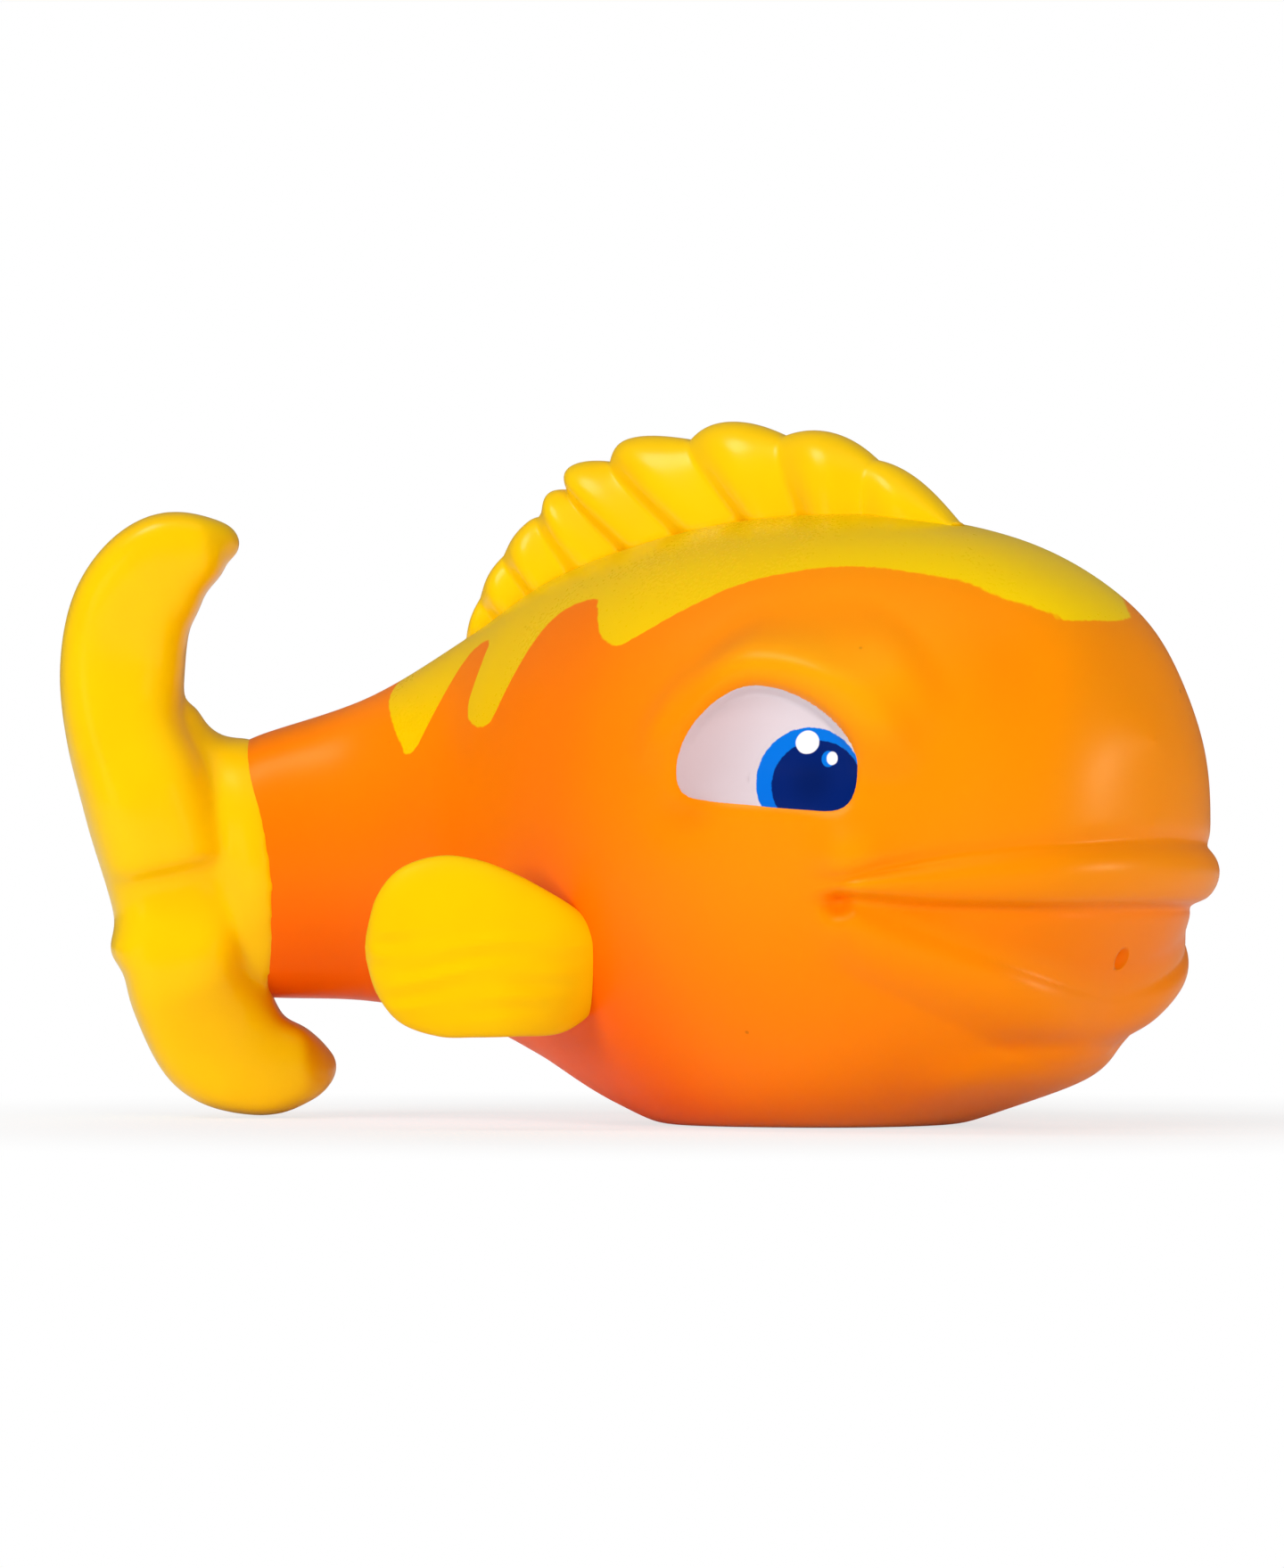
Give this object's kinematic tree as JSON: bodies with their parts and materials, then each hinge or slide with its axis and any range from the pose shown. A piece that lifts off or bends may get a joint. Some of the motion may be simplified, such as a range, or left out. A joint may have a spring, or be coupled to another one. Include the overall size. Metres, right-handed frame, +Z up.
{
  "type": "squeaky bath toy",
  "caption": "Soft orange vinyl fish bath toy with yellow fins, set-in eyes, a squirt hole in the mouth and a reed squeaker in the flat belly",
  "frame": {"origin": "on the flat foot under the belly, on the body's middle plane", "axes": "+X forward to the mouth, +Y to the fish's left, +Z up"},
  "size_m": [0.104, 0.0724, 0.0615],
  "materials": {
    "orange_vinyl": "satin soft vinyl, orange with a painted yellow saddle",
    "gloss_yellow_vinyl": "glossy yellow vinyl",
    "yellow_vinyl": "semi-gloss yellow vinyl",
    "eye_enamel": "white eye with a printed blue iris",
    "squeaker_plastic": "plain moulded polyethylene",
    "reed_film": "thin amber film"
  },
  "bodies": {
    "fish": {"body_shell": "orange_vinyl", "tail_fin": "gloss_yellow_vinyl", "dorsal_fin": "gloss_yellow_vinyl", "right_side_fin": "yellow_vinyl", "left_side_fin": "yellow_vinyl", "right_eye": "eye_enamel", "left_eye": "eye_enamel", "squeaker_case": "squeaker_plastic", "squeaker_grille": "squeaker_plastic", "reed_block": "squeaker_plastic", "reed_wedge": "squeaker_plastic"},
    "reed_body": {"reed": "reed_film"}
  },
  "joints": [
    {"name": "reed_flex", "type": "hinge", "parent": "fish", "child": "reed_body", "pos_m": [-0.009, 0, 0.0047], "axis": [0, 1, 0], "range_deg": [-3, 3], "stiffness_Nm_per_rad": 0.0001}
  ]
}
